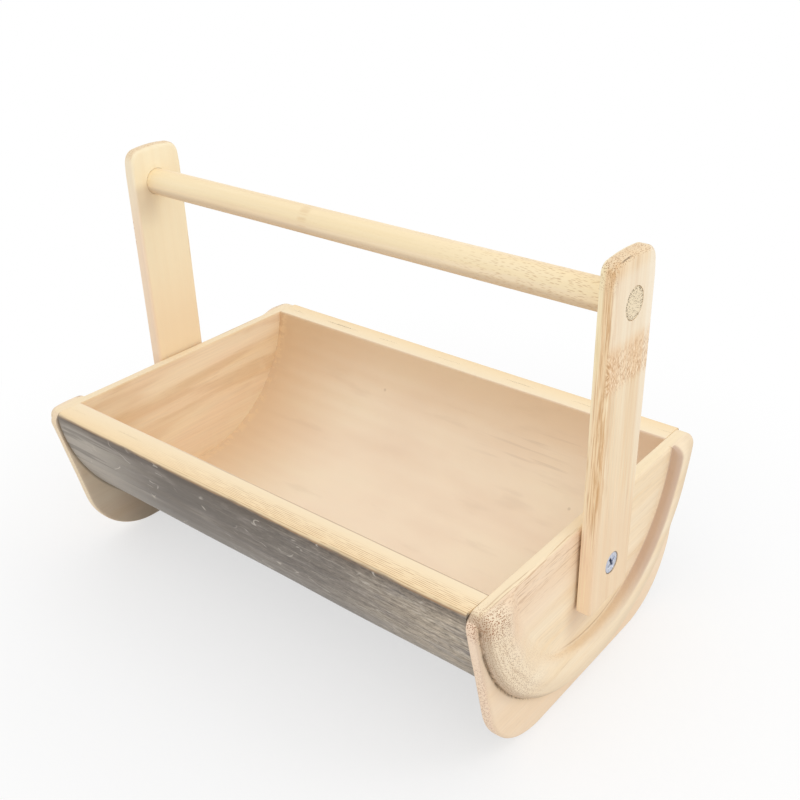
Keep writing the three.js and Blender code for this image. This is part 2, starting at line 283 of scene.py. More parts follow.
def culmMaterial(d):
    # the wall is read by depth, 0 at the inner face and 1 at the skin, so the sawn rails cut through it
    material, tree = newMaterial("driedBambooCulm")
    place = readPlace(tree)
    spot, x, y, z = place["spot"], place["x"], place["y"], place["z"]
    radius = fromAxis(tree, spot, d["axisZ"])
    depth = addNode(tree, "MapRange", {
        "Value": radius, "From Min": d["radius"] - d["wall"], "From Max": d["radius"],
    })
    fine = pattern(tree, "Noise", spot, grain("x", 0.7, 45), Detail=3.0, Roughness=0.6)
    streak = pattern(tree, "Noise", spot, grain("x", 5.5, 120), Detail=4.0, Roughness=0.55)
    cloud = pattern(tree, "Noise", spot, grain("x", 30, 75), Detail=3.0)
    dash = pattern(tree, "Noise", spot, grain("x", 0.45, 7), Detail=2.0)

    # wood of the wall: cream, with a brown line only just under the skin
    wood = addNode(tree, "ValToRGB", {"Fac": depth}, stops=[
        (0.0, "#fae8c8"), (0.5, "#fbe5bf"), (0.85, "#f9dfb5"), (0.945, "#efd6ad"),
        (0.98, "#b99c7c"), (1.0, "#6b5d50"),
    ])
    film = addNode(tree, "ValToRGB", {"Fac": cloud}, stops=[
        (0.3, "#f9ebd3"), (0.5, "#f8e7d0"), (0.66, "#f5e2cb"), (0.8, "#f1dcc5"),
    ])
    # fibre lines on the rails: a sine of the depth, pushed about by the long streaks
    ripple = addNode(tree, "Math", {0: streak, 1: d["linePush"]}, operation="MULTIPLY")
    phase = addNode(tree, "Math", {
        0: radius, 1: 2 * math.pi / d["lineMm"], 2: ripple,
    }, operation="MULTIPLY_ADD")
    line = addNode(tree, "Math", {0: phase}, operation="SINE")
    bruise = pattern(tree, "Noise", spot, grain("x", 9, 40), Detail=3.0, shift=(3.1, 0.4, 7.7))
    smear = pattern(tree, "Noise", spot, grain("x", 2.4, 45), Detail=2.0)
    torn = pattern(tree, "Noise", spot, [7, 5, 5], Detail=4.0, Roughness=0.6)
    # film inside: painted shade to the left and up the back wall under the rail, torn pale beside the left
    # joint, two flecks
    onFilm = (depth, 0.06, 0.02)
    fleckGaps = [
        addNode(tree, "VectorMath", {0: spot, 1: fleck}, out="Value", operation="DISTANCE")
        for fleck in d["flecks"]
    ]
    wood = stainsAndPaintedLight(
        tree, wood,
        (1.0, (depth, 0.07, 0.03), film),
        (0.7, (line, 0.4, 0.95), (dash, 0.36, 0.54), (depth, 0.25, 0.55), (x, -110, 40),
         (y, 10, -10), "#b07f50"),
        (0.25, (streak, 0.56, 0.75), (depth, 0.3, 0.6), "#e3bd8c"),
        (0.12, onFilm, (bruise, 0.58, 0.74), "#b9a38c"),
        # painted shade: the film darkened towards the left board, and high on the back wall under the back
        # rail
        (0.6, onFilm, (x, -40, -125), "#dfbd92"),
        (0.5, onFilm, (z, 48, 86), (y, 0, 40), "#d9b78d"),
        (0.3, onFilm, (x, 70, 122), "#e3cbb8"),
        (0.7, onFilm, (x, -117, -122.5), (torn, 0.48, 0.58), "#f3d8b2"),
        (0.14, onFilm, (smear, 0.6, 0.72), (x, 10, 60), (y, 52, 60), (z, 74, 66), "#96826f"),
        *[(0.28, (gap, 1.2, 0.3), "#8d7862") for gap in fleckGaps],
        # dark line along the front rail's inner edge, and painted shade on the culm's end beside the board
        # at the front
        (0.6, (depth, 0.075, 0.05), (depth, 0.01, 0.03), (z, 84.9, 85.4), (y, 0, -10),
         (x, -90, 20), "#a3835f"),
        # painted shade: the culm's end darkened where it meets the board at the front
        (0.75, (place["out"], 124.3, 124.7), (depth, 0.82, 0.95), (y, 20, -20), "#6b6058"),
    )

    # skin: grey with long streaks and blotches, dark under the rail, paler to both ends, cooler low down
    skin = addNode(tree, "ValToRGB", {"Fac": streak}, stops=[
        (0.3, "#8a827c"), (0.45, "#958d86"), (0.57, "#9d948b"), (0.72, "#a9a095"),
    ])
    blotch = pattern(tree, "Noise", spot, grain("x", 7, 30), Detail=4.0, Roughness=0.65)
    thread = pattern(tree, "Noise", spot, grain("x", 1.3, 20), Detail=3.0, Roughness=0.6)
    skin = stainsAndPaintedLight(
        tree, skin,
        (0.7, (x, 30, 110), (blotch, 0.28, 0.55), "#b9aa95"),
        (0.65, (x, -50, -115), "#c0b7aa"),
        (0.5, (z, 56, 28), "#98948f"),
        (0.64, (z, 32, 74), (blotch, 0.2, 0.54), (x, 110, 30), (x, -110, -40), "#5d554c"),
        (0.4, (thread, 0.52, 0.64), (z, 25, 60), (x, -50, 100), "#6d635b"),
        (0.4, (thread, 0.46, 0.36), (z, 25, 60), (x, -50, 100), "#cbc2b4"),
        (0.5, (smear, 0.52, 0.64), (x, -40, -85), (z, 44, 62), "#68615b"),
        (0.6, (z, 79, 83.5), "#5f5349"),
    )
    # grit: fine and mottled grain less its mean, faint on the left and strong at the right end
    mottle = pattern(tree, "Noise", spot, grain("x", 1.0, 4.0), Detail=4.0, Roughness=0.75)
    grit = addNode(tree, "Math", {0: fine, 1: d["gritFine"], 2: mottle}, operation="MULTIPLY_ADD")
    grit = addNode(tree, "Math", {0: grit, 1: noiseMean * (1 + d["gritFine"])}, operation="SUBTRACT")
    coarse = addNode(tree, "MapRange", {
        "Value": x, "From Min": d["gritFrom"], "From Max": d["gritTo"],
        "To Min": d["gritFaint"], "To Max": d["gritStrong"],
    })
    grit = addNode(tree, "Math", {0: grit, 1: coarse, 2: 1.0}, operation="MULTIPLY_ADD")
    skin = addNode(tree, "VectorMath", {0: skin, "Scale": grit}, operation="SCALE")
    # pale scratches: where a smooth noise crosses its middle, kept in a few places only
    vein = pattern(tree, "Noise", spot, grain("x", 15, 26), Detail=1.0, Distortion=1.0)
    vein = addNode(tree, "Math", {0: vein, 1: noiseMean}, operation="SUBTRACT")
    vein = addNode(tree, "Math", {0: vein}, operation="ABSOLUTE")
    sparse = pattern(tree, "Noise", spot, grain("x", 6, 9), Detail=1.0)
    skin = stainsAndPaintedLight(tree, skin, (0.7, (vein, 0.016, 0.004), (sparse, 0.53, 0.64), "#cfc6ba"))

    # the skin starts a little under the rail, with a frayed edge
    level = addNode(tree, "Math", {0: dash, 1: 2 * d["skinFray"], 2: z}, operation="MULTIPLY_ADD")
    level = addNode(tree, "Math", {0: bruise, 1: 2 * d["skinWave"], 2: level}, operation="MULTIPLY_ADD")
    level = addNode(tree, "Math", {0: level, 1: d["skinFray"] + d["skinWave"]}, operation="SUBTRACT")
    skinFrom, skinFull = d["skinTop"] + d["skinBlend"], d["skinTop"] - d["skinBlend"]
    colour = stainsAndPaintedLight(tree, wood, (1.0, (level, skinFrom, skinFull), (depth, 0.86, 0.93), skin))
    drySurface(tree, colour, fine, fine, rough=(0.5, 0.68), bump=(0.22, 0.12))
    return material


makePiece("culmTrough", culmGrids(culm), culmMaterial(culm), "tray", ["culm_trough"])


# sanded bamboo: pale, with fibre bundles that show as short dashes on the sides and dots on cut ends

def bambooMaterial(name, look, marks=None):
    material, tree = newMaterial(name)
    axis = look["grain"]
    place = readPlace(tree)
    spot = place["spot"]
    along = [1.0 if letter == axis else 0.0 for letter in "xyz"]
    facing = addNode(tree, "TexCoord", out="Normal")
    cut = addNode(tree, "VectorMath", {0: facing, 1: along}, out="Value", operation="DOT_PRODUCT")
    cut = addNode(tree, "Math", {0: cut}, operation="ABSOLUTE")
    fine = pattern(tree, "Noise", spot, grain(axis, 0.95, 40), Detail=3.0, Roughness=0.6)
    bandSize = grain(axis, look["bandMm"], look["bandLongMm"])
    band = pattern(tree, "Noise", spot, bandSize, Detail=3.0, Roughness=0.55)
    cloud = pattern(tree, "Noise", spot, grain(axis, 24, 60), Detail=2.0)
    dashes = pattern(tree, "Voronoi", spot, grain(axis, look["dashMm"], look["dashLongMm"]))
    dots = pattern(tree, "Voronoi", spot, [look["dotMm"]] * 3, Randomness=0.75)
    place.update(fine=fine, band=band, dots=dots, cut=cut)

    colour = addNode(tree, "ValToRGB", {"Fac": band}, stops=[
        (0.3, look["pale"]), (0.5, look["middle"]), (0.74, look["deep"]),
    ])
    colour = stainsAndPaintedLight(tree, colour, (0.5, (cloud, 0.42, 0.72), look["warm"]))
    shade = addNode(tree, "MapRange", {
        "Value": fine, "From Min": noiseLow, "From Max": noiseHigh,
        "To Min": look["fineDark"], "To Max": 1.02,
    })
    colour = addNode(tree, "VectorMath", {0: colour, "Scale": shade}, operation="SCALE")
    colour = stainsAndPaintedLight(
        tree, colour,
        (look["dashShare"], (dashes, 0.3, 0.12), (cut, 0.3, 0.05), (band, 0.4, 0.6), look["fibre"]),
        (look["cutShade"], (cut, 0.06, 0.45), look["cut"]),
        (look["dotShare"], (cut, 0.06, 0.45), (dots, 0.36, 0.15), look["fibre"]),
    )
    if marks:
        colour = marks(tree, place, colour)
    height = addNode(tree, "Math", {0: fine, 1: dots}, operation="ADD")
    drySurface(tree, colour, fine, height, rough=(0.52, 0.68), bump=(0.2, 0.1))
    return material


# end boards: sanded bamboo, grain across the tray, a recess routed into each and a rounded bead round it

board = dict(
    innerX=125.0, plate=5.5, rail=86.0, halfWidth=87.85, topCorner=6.0, leanDeg=12.5, footCorner=38.0,
    axisZ=91.0, beadOuter=85.2, beadInner=66.0, beadHigh=5.5, fillet=0.9, crestEase=2.6,
    outerRound=14.0, outerWall=0.4, frontRound=1.8, endRound=0.6, backRound=0.35, footRound=1.2,
    groove=0.4, grooveWide=0.8, softFromDeg=95.0, softToDeg=140.0, rampFrom=60.0, rampTo=75.0,
    faceRelief=0.1, faceWave=(60, 14), footFrom=-1, footFull=4, panelRows=36, panelCrowd=2.2, footRows=19,
    rimRows=6, topCount=27, sideCount=31, footCount=37, baseCount=20,
)
boardLook = dict(
    grain="y", dashMm=0.5, dashLongMm=12, dotMm=0.56, bandMm=8.0, bandLongMm=150,
    pale="#fcebce", middle="#f9e5c6", deep="#f5dcb6", warm="#f8dcbf", fineDark=0.94,
    fibre="#b08458", cut="#f0dabb", cutShade=0.45, dashShare=0.2, dotShare=0.5,
)


def boardOutline(d):
    # from the back end of the straight top, round the foot and the flat base, to the front end
    lean = math.radians(d["leanDeg"])
    baseHalf = d["halfWidth"] - d["rail"] * math.tan(lean)
    footY = baseHalf - d["footCorner"] * math.tan((math.pi / 2 - lean) / 2)
    topY = d["halfWidth"] - d["topCorner"] * math.tan((math.pi / 2 + lean) / 2)
    topZ = d["rail"] - d["topCorner"]
    t, f = d["topCorner"], d["footCorner"]
    top = arcPoints(topY, topZ, t, t, 90, -d["leanDeg"], d["topCount"])
    foot = arcPoints(footY, f, f, f, -d["leanDeg"], -90, d["footCount"])
    side = np.linspace(top[-1], foot[0], d["sideCount"])
    half = joined(top, side, foot, np.linspace(foot[-1], (0, 0), d["baseCount"]))
    return joined(half, half[::-1] * np.array([-1, 1]))


def edgeDistance(points, loop):
    # shortest distance from each point to the closed loop of straight pieces
    start, step = loop, np.roll(loop, -1, 0) - loop
    length = (step ** 2).sum(1)
    start, step, length = start[length > 1e-9], step[length > 1e-9], length[length > 1e-9]
    gap = points[:, None] - start
    share = np.clip((gap * step).sum(2) / length, 0, 1)
    return np.sqrt(((gap - share[..., None] * step) ** 2).sum(2)).min(1)


def roundOver(distance, radius):
    # how far a rounded edge falls back: a quarter circle over the last radius of distance
    inset = np.clip(1 - distance / radius, 0, 1)
    return radius * (1 - np.sqrt(1 - inset ** 2))


def beadProfiles(d):
    # the bead from the recess floor to its outer foot, as (radius, height over the panel):
    # a crisp one with a wall and a crest, a soft one that swells out of the panel, and the crown of both
    floor, high, ease = d["beadInner"] - d["fillet"], d["beadHigh"], d["crestEase"]
    fillet = arcPoints(floor, d["fillet"], d["fillet"], d["fillet"], -90, 0, 6)
    crest = arcPoints(d["beadInner"] + ease, high - ease, ease, ease, 180, 90, 9)
    crownFrom = d["beadOuter"] - d["outerRound"]
    crown = arcPoints(crownFrom, d["outerWall"], d["outerRound"], high - d["outerWall"], 90, 0, 25)
    lead = joined(fillet, np.linspace(fillet[-1], crest[0], 5), crest, np.linspace(crest[-1], crown[0], 6))
    wall = np.linspace(crown[-1], (d["beadOuter"], -d["groove"]), 4)
    crisp = joined(lead, crown, wall)
    soft = crisp.copy()
    soft[:len(lead), 0] = np.linspace(floor, crownFrom, len(lead))
    soft[:len(lead), 1] = high
    soft[:, 1] *= smooth(soft[:, 0], d["rampFrom"], d["rampTo"])
    return crisp, soft, crown


def boardGrids(d):
    # columns follow the outline; rows run from the top edge over panel, bead and foot to the outline
    edge = boardOutline(d)
    centre = np.array([0, d["axisZ"]])
    edgeAngle = np.arctan2(centre[1] - edge[:, 1], edge[:, 0])
    floor = d["beadInner"] - d["fillet"]
    first = math.asin((d["axisZ"] - d["rail"]) / floor)
    share = (edgeAngle - edgeAngle[0]) / (edgeAngle[-1] - edgeAngle[0])
    angle = first + share * (math.pi - 2 * first)
    softness = smooth(np.degrees(angle), d["softFromDeg"], d["softToDeg"])
    root = centre + floor * np.stack([np.cos(angle), -np.sin(angle)], -1)
    step = edge - root
    a, b = (step ** 2).sum(1), ((root - centre) * step).sum(1)
    reach = (-b + np.sqrt(b * b - a * (floor ** 2 - d["beadOuter"] ** 2))) / a
    foot = root + np.minimum(reach, 1)[:, None] * step

    drop = np.linspace(0, 1, d["panelRows"])[:-1, None] ** d["panelCrowd"]
    panelY = root[:, 0] + 0 * drop
    panelZ = d["rail"] + (root[:, 1] - d["rail"]) * drop
    panelR = np.hypot(panelY, panelZ - d["axisZ"])
    panelRise = softness * d["beadHigh"] * smooth(panelR, d["rampFrom"], d["rampTo"])

    # the bead runs out at the outline where the board's corner cuts it
    crisp, soft, crown = beadProfiles(d)
    blend = crisp[:, None] * (1 - softness[:, None]) + soft[:, None] * softness[:, None]
    limit = np.minimum(1, 1 / reach)
    across = (blend[..., 0] - floor) / (d["beadOuter"] - floor)
    cutRise = np.interp(floor + limit * (d["beadOuter"] - floor), crown[:, 0], crown[:, 1])
    beadRise = np.where(across <= limit, blend[..., 1], cutRise)
    across = np.minimum(across, limit) * reach
    out = (0.5 - 0.5 * np.cos(np.pi * np.linspace(0, 1, d["footRows"])[1:]))[:, None]
    y = np.concatenate([panelY, root[:, 0] + across * step[:, 0], foot[:, 0] + out * (edge - foot)[:, 0]])
    z = np.concatenate([panelZ, root[:, 1] + across * step[:, 1], foot[:, 1] + out * (edge - foot)[:, 1]])
    outward = out * np.hypot(*(edge - foot).T)
    footRise = np.where(limit < 1, cutRise, -d["groove"] * np.exp(-(outward / d["grooveWide"]) ** 2))
    rise = np.concatenate([panelRise, beadRise, footRise])
    gap = edgeDistance(np.stack([y, z], -1).reshape(-1, 2), edge).reshape(y.shape)
    front = d["innerX"] + d["plate"] + rise + d["faceRelief"] * wobble(y, z, *d["faceWave"])
    front = front - roundOver(gap, d["frontRound"] + d["endRound"] * np.maximum(rise, 0))
    beyond = np.hypot(y, z - d["axisZ"]) - d["beadOuter"]
    outside = smooth(beyond, d["footFrom"], d["footFull"])
    back = d["innerX"] + roundOver(gap, d["backRound"] + (d["footRound"] - d["backRound"]) * outside)
    frontGrid, backGrid = np.stack([front, y, z], -1), np.stack([back, y, z], -1)

    # the rim joins the borders of the two faces
    loops = [np.concatenate([g[0], g[1:, -1], g[-1, -2::-1], g[-2:0:-1, 0]]) for g in (frontGrid, backGrid)]
    mix = np.linspace(0, 1, d["rimRows"])[:, None, None]
    rim = loops[0] * (1 - mix) + loops[1] * mix
    return [(frontGrid, False), (backGrid, False), (rim, True)]


def boardMarks(tree, place, colour):
    # cut fibre ends speckle the bead's front, the corner and the front edge; the corner is scorched;
    # painted shade darkens the bead's slope, the recess wall and its foot, the panel under the arm, the
    # crease and the wood by the culm
    spot, y, z, cut = place["spot"], place["y"], place["z"], place["cut"]
    out, back = place["out"], place["back"]
    radius = fromAxis(tree, spot, board["axisZ"])
    aside = addNode(tree, "Math", {0: y}, operation="ABSOLUTE")
    speckle = pattern(tree, "Voronoi", spot, [0.62] * 3, Randomness=0.65)
    chips = pattern(tree, "Noise", spot, [1.6, 1.6, 2.6], Detail=3.0, Roughness=0.7)
    lashes = pattern(tree, "Voronoi", spot, grain("y", 0.75, 6))
    waves = pattern(tree, "Noise", spot, grain("y", 8, 60), Detail=2.0, Distortion=0.5)
    lines = pattern(tree, "Noise", spot, grain("y", 0.8, 24), Detail=3.0, Roughness=0.6)
    glue = pattern(tree, "Noise", spot, [9, 9, 9], Detail=4.0, Roughness=0.6)
    # distance from the scorch, counted shorter along the grain than up and down
    corner = addNode(tree, "Mapping", {
        "Vector": spot, "Scale": (1.0, 0.8, 1.4), "Location": (-131.0, 66.4, -113.0),
    })
    corner = addNode(tree, "VectorMath", {0: corner}, out="Value", operation="LENGTH")

    # where the stains and the painted shade lie: inner face, panel, bead's front, cut front edge, recess
    # wall, crease
    inside, besideCulm = (out, 125.6, 125.2), (out, 125.7, 125.3)
    onPanel, offInside = (out, 129.6, 130.3), (out, 129.4, 130)
    beadFront = [(back, -36, -64), (radius, 66, 77), (radius, 86.2, 85.4), (out, 130.2, 131.2)]
    frontEdge = [(cut, 0.5, 0.9), (back, -20, -40)]
    recessWall = [(radius, 64.6, 66.0), (radius, 69.6, 67.0), (out, 130.5, 131.2), (back, -30, 40)]
    recessFoot = [(radius, 64.6, 65.1), (radius, 65.8, 65.3), (back, -34, -14), (z, 34, 27)]
    underArm = [(back, -26, -13), (back, 14, -4), (z, 24, 40), (z, 52, 45), (out, 131.6, 130.9)]
    crease = [(radius, 83.8, 84.9), (radius, 86.5, 85.6), (out, 132.2, 130.8), (back, -5, -45), (z, 82, 78)]
    belowCrease = [(radius, 91, 86), (radius, 84.8, 85.6), (back, -45, -65), (z, 20, 34)]
    return stainsAndPaintedLight(
        tree, colour,
        (0.4, inside, (waves, 0.42, 0.66), (z, 30, 60), "#dcb88e"),
        (0.4, inside, (glue, 0.44, 0.6), (radius, 56, 66), (z, 76, 60), "#f9e6c8"),
        # painted shade: the bead's outer slope darkened all round
        (0.3, (radius, 72, 80), (radius, 86, 85), (out, 130.8, 131.5), "#e2cbac"),
        (0.4, onPanel, (z, 50, 72), (back, 12, -20), (radius, 82, 70), "#f0cfb2"),
        (0.6, (z, 84.7, 85.6), (out, 130.4, 129.4), "#fae7c2"),
        (0.3, onPanel, (lashes, 0.34, 0.1), (z, 60, 78), (back, 0, -22), (radius, 84, 72), "#a97f58"),
        (0.5, (lines, 0.54, 0.64), (z, 62, 80), (back, 8, -16), (radius, 84, 74),
         (out, 127, 129), "#b98f62"),
        # painted shade on the bead's crest low down
        (0.4, (back, -20, 20), (radius, 70, 76), (out, 133, 135), "#dfc8a8"),
        (0.7, *frontEdge, (radius, 83, 87), "#ffe4cb"),
        (0.5, *beadFront, "#f6e6cc"),
        (0.85, *beadFront, (speckle, 0.48, 0.24), "#ad8660"),
        # painted shade on the recess wall, strongest at the back
        (0.9, *recessWall, (z, 12, 40), "#cbae98"),
        # painted shade: a thin dark line in the inner corner at the foot of the recess wall
        (0.4, *recessFoot, offInside, "#a07b5c"),
        # painted shadow of the arm's lower end on the panel
        (0.42, *underArm, offInside, "#c3a189"),
        (0.2, (corner, 8, 1), "#e0ab7a"),
        (0.9, (corner, 12.5, 4), (speckle, 0.5, 0.28), "#9a5628"),
        (0.65, *frontEdge, (z, 80, 40), (speckle, 0.48, 0.24), "#ad7752"),
        # painted shade beside the crease on the bead and on the foot, and a darker line in the crease
        # itself, broken up by chip noise
        (0.5, (radius, 81.4, 84.6), (radius, 86.0, 85.3), (back, -5, -50), "#a1866c"),
        (0.35, *belowCrease, (out, 128.5, 129.5), "#ac947a"),
        (0.6, *crease, (chips, 0.44, 0.56), "#75604a"),
        (0.45, (radius, 85.4, 87), (out, 129, 129.6), "#efd2b6"),
        # painted shade on the board's inner face outside the culm, deeper towards the middle and darkest in
        # the gap at the culm's end
        (0.4, besideCulm, (radius, 85.2, 86.5), "#9c8a7f"),
        (0.3, besideCulm, (radius, 85.2, 86.5), (aside, 66, 40), "#7d6d62"),
        (0.65, besideCulm, (radius, 82, 84.5), (radius, 87, 85.7), (y, 20, -20), "#6b5c50"),
    )


boardWood = bambooMaterial("sandedBambooBoard", boardLook, boardMarks)
boardShape = boardGrids(board)
for side in ("Right", "Left"):
    shape = atSide(side, boardShape)
    makePiece("endBoard" + side, shape, boardWood, "tray", ["end_board_" + side.lower()])


# handle arms: sanded bamboo slats, grain upright, soft edges and a rounder top

arm = dict(
    innerX=131.7, thick=6.6, front=16.0, back=16.0, bottom=45.0, top=201.5, crown=0.6,
    frontCorner=4.5, backCorner=4.5, frontFoot=1.4, backFoot=4.5,
    sideRound=1.2, topRound=2.3, topFrom=14, topFull=4, pivotZ=64.0, barZ=181.5,
    barHole=6.75, screwHole=2.5, sinkRadius=5.2, sinkLip=0.55,
    sideCount=28, topCount=25, cornerCount=13, frontFootCount=7, roundRows=8, faceRows=9, splitCount=15,
)
# each arm was sanded down a little differently, always inside its solid
armTrim = dict(
    Right=dict(back=15.4, backCorner=6.5, innerShare=0.4),
    Left=dict(back=14.4, top=200.0, frontCorner=6.5, backCorner=6.5, innerShare=1.0),
)
armLook = dict(
    grain="z", dashMm=0.8, dashLongMm=14, dotMm=0.62, bandMm=3.2, bandLongMm=130,
    pale="#fceccf", middle="#f7e1bf", deep="#eccaa0", warm="#f5d8b2", fineDark=0.91,
    fibre="#b5875a", cut="#eed4ae", cutShade=0.5, dashShare=0.26, dotShare=0.9,
)


def armOutline(d):
    # closed outline and its inward normals: upper half from the back over the top, then lower half
    back, front, bottom = d["back"], d["front"], d["bottom"]
    middle = (d["pivotZ"] + d["barZ"]) / 2
    shoulder = d["top"] - d["crown"]
    sides, tops, corners = d["sideCount"], d["topCount"], d["cornerCount"]
    b, f = d["backCorner"], d["frontCorner"]
    hump = np.linspace(0, 1, tops)
    crown = np.stack([
        (back - b) * (1 - hump) - (front - f) * hump, shoulder + 4 * d["crown"] * hump * (1 - hump),
    ], -1)
    backTop = arcPoints(back - b, shoulder - b, b, b, 0, 90, corners)
    frontTop = arcPoints(f - front, shoulder - f, f, f, 90, 180, corners)
    upper = joined(
        np.linspace((back, middle), backTop[0], sides), backTop, crown, frontTop,
        np.linspace(frontTop[-1], (-front, middle), sides),
    )
    b, f = d["backFoot"], d["frontFoot"]
    frontLow = arcPoints(f - front, bottom + f, f, f, 180, 270, d["frontFootCount"])
    backLow = arcPoints(back - b, bottom + b, b, b, 270, 360, corners)
    lower = joined(
        np.linspace((-front, middle), frontLow[0], sides), frontLow,
        np.linspace(frontLow[-1], backLow[0], tops), backLow,
        np.linspace(backLow[-1], (back, middle), sides),
    )
    loop = np.concatenate([upper, lower[1:-1]])
    ahead = np.roll(loop, -1, 0) - np.roll(loop, 1, 0)
    normal = np.stack([-ahead[:, 1], ahead[:, 0]], -1) / np.hypot(*ahead.T)[:, None]
    return loop, normal, len(upper)


def armGrids(d):
    # rim: a rounded edge profile carried round the outline; faces: rings from the outline to a hole
    loop, normal, upperCount = armOutline(d)
    inner, outer = d["innerX"], d["innerX"] + d["thick"]
    nearTop = smooth(loop[:, 1], d["top"] - d["topFrom"], d["top"] - d["topFull"])
    soft = d["sideRound"] + (d["topRound"] - d["sideRound"]) * nearTop
    turn = np.radians(np.linspace(0, 90, d["roundRows"]))[:, None]
    inset = soft * (1 - np.sin(turn))
    rise = soft * (1 - np.cos(turn))
    insets = np.concatenate([inset, d["innerShare"] * inset[::-1]])
    depth = np.concatenate([outer - rise, inner + d["innerShare"] * rise[::-1]])
    rim = np.stack([depth, loop[:, 0] + insets * normal[:, 0], loop[:, 1] + insets * normal[:, 1]], -1)
    grids = [(rim, True)]

    mix = np.linspace(0, 1, d["faceRows"])[:, None, None]
    halves = []
    for share in (1.0, d["innerShare"]):
        face = loop + share * soft[:, None] * normal
        split = np.linspace(face[upperCount - 1], face[0], d["splitCount"])
        halves.append((
            np.concatenate([face[:upperCount], split[1:-1]]),
            np.concatenate([face[upperCount - 1:], face[:1], split[::-1][1:-1]]),
        ))
    for half, centreZ, frontHole, backHole in (
        (0, d["barZ"], d["barHole"], d["barHole"]),
        (1, d["pivotZ"], d["sinkRadius"], d["screwHole"]),
    ):
        centre = np.array([0, centreZ])
        away = halves[0][half] - centre
        unit = away / np.hypot(*away.T)[:, None]
        wall = [(frontHole, outer)]
        if frontHole > backHole:
            lipX = outer - d["sinkLip"]
            wall += [(frontHole, lipX), (backHole, lipX - frontHole + backHole)]
        wall = np.array(wall + [(backHole, inner)])
        for x, hole, rings in ((outer, frontHole, halves[0]), (inner, backHole, halves[1])):
            rows = rings[half] * (1 - mix) + (centre + hole * unit) * mix
            grids.append((np.concatenate([x + 0 * rows[..., :1], rows], -1), True))
        bore = centre + wall[:, 0, None, None] * unit
        grids.append((np.concatenate([wall[:, 1, None, None] + 0 * bore[..., :1], bore], -1), True))
    return grids


def armMarks(tree, place, colour):
    # painted light on the warm inner faces and the front edge, painted shadow under the bar on the left
    # arm, orange and pale streaks down the front edge, a warm band behind the middle, the scar of a culm
    # node across the outer face, and speckled end grain over the right arm's top
    spot, x, y, z = place["spot"], place["x"], place["y"], place["z"]
    out, back, cut, dots = place["out"], place["back"], place["cut"], place["dots"]
    lines = pattern(tree, "Noise", spot, grain("z", 0.5, 22), Detail=2.0)
    wavy = pattern(tree, "Noise", spot, grain("z", 0.8, 14), Detail=4.0, Roughness=0.6, Distortion=0.6)
    streak = pattern(tree, "Noise", spot, grain("z", 0.9, 30), Detail=2.0)
    # strokes that lean like the fibres of a node: drawn-out noise on axes tilted both ways
    scars = [
        pattern(tree, "Noise", addNode(tree, "Mapping", {"Vector": spot, "Rotation": (lean, 0, 0)}),
                [2.0, 0.5, 2.6], Detail=2.0)
        for lean in (0.42, -0.34)
    ]
    scar = addNode(tree, "Math", {0: scars[0], 1: scars[1]}, operation="MAXIMUM")

    # where the stains, the painted light and the painted shadow lie: inner and outer face, front edge, node
    # scar, and the one arm or the other
    innerFace, outerFace = (out, 133.2, 132.2), (out, 137, 138)
    frontEdge, belowTop = (back, -14.2, -15.4), (z, 198, 188)
    nodeScar = [(z, 147, 152), (z, 169, 162), (out, 136.5, 137.8)]
    leftArm, rightArm = (x, 0, -9), (x, 0, 9)
    underBar = [(y, 1, -6), (z, 156, 173), (z, 184, 178)]
    topNick = [(x, 137.1, 137.4), (x, 137.8, 137.5), (y, -13, -9), (y, -3, -6), (z, 199, 200)]
    return stainsAndPaintedLight(
        tree, colour,
        # painted light: the inner faces lightened
        (0.85, innerFace, "#fff1cf"),
        (0.5, innerFace, (z, 150, 95), "#fcdfb8"),
        # painted shadow of the bar on the left arm's inner face
        (0.3, innerFace, leftArm, *underBar, "#a98a76"),
        # painted light: the front edge lightened
        (0.7, (back, -14.6, -15.6), (out, 131.5, 134.5), "#ffdfb3"),
        (0.5, frontEdge, (lines, 0.52, 0.62), belowTop, (z, 50, 90), "#c08a55"),
        (0.6, frontEdge, (out, 134.8, 133.4), (z, 150, 162), "#fff0c6"),
        # painted light on the front edge low down
        (0.7, frontEdge, (z, 104, 72), "#fbe2c6"),
        (0.6, (back, 13, 14.5), (z, 86, 90), "#fff1d6"),
        (0.5, (back, 12.5, 14), leftArm, (z, 190, 150), "#f6d7bf"),
        (0.5, (back, -9.0, -13.5), (wavy, 0.38, 0.6), (out, 134.2, 136.6), (z, 84, 108), "#d8a872"),
        (0.3, (back, -14.4, -15.6), (wavy, 0.46, 0.58), (out, 132.8, 135.5), (z, 60, 90), "#c59560"),
        (0.55, (back, -13.6, -15.2), (lines, 0.47, 0.38), belowTop, "#ffeecb"),
        (0.4, outerFace, (back, -1, 1.5), (back, 8.5, 5), (streak, 0.38, 0.62), (z, 66, 82),
         (z, 172, 160), "#e6bc86"),
        (0.35, outerFace, (back, -11, 4), (z, 98, 118), (z, 150, 146), "#eed6b4"),
        (0.5, outerFace, (z, 160, 172), (z, 198, 192), "#f7e9d2"),
        (0.45, outerFace, (back, 7, 12), (z, 90, 140), "#fbf0dd"),
        (0.6, (z, 112, 76), (out, 136.8, 138), "#eecfab"),
        (0.55, outerFace, (z, 147, 153), (z, 171, 165), (place["band"], 0.3, 0.55), "#f0cba0"),
        (0.65, *nodeScar, (scar, 0.54, 0.64), "#c08f60"),
        (0.7, *nodeScar, (scar, 0.51, 0.44), "#ffe9cd"),
        (0.5, rightArm, (cut, 0.12, 0.4), (z, 190, 197), (dots, 0.48, 0.26), "#a97a50"),
        (0.4, rightArm, (back, -13, -15.4), (z, 188, 194), (dots, 0.48, 0.26), "#a97a50"),
        (0.7, *topNick, "#6b5138"),
    )


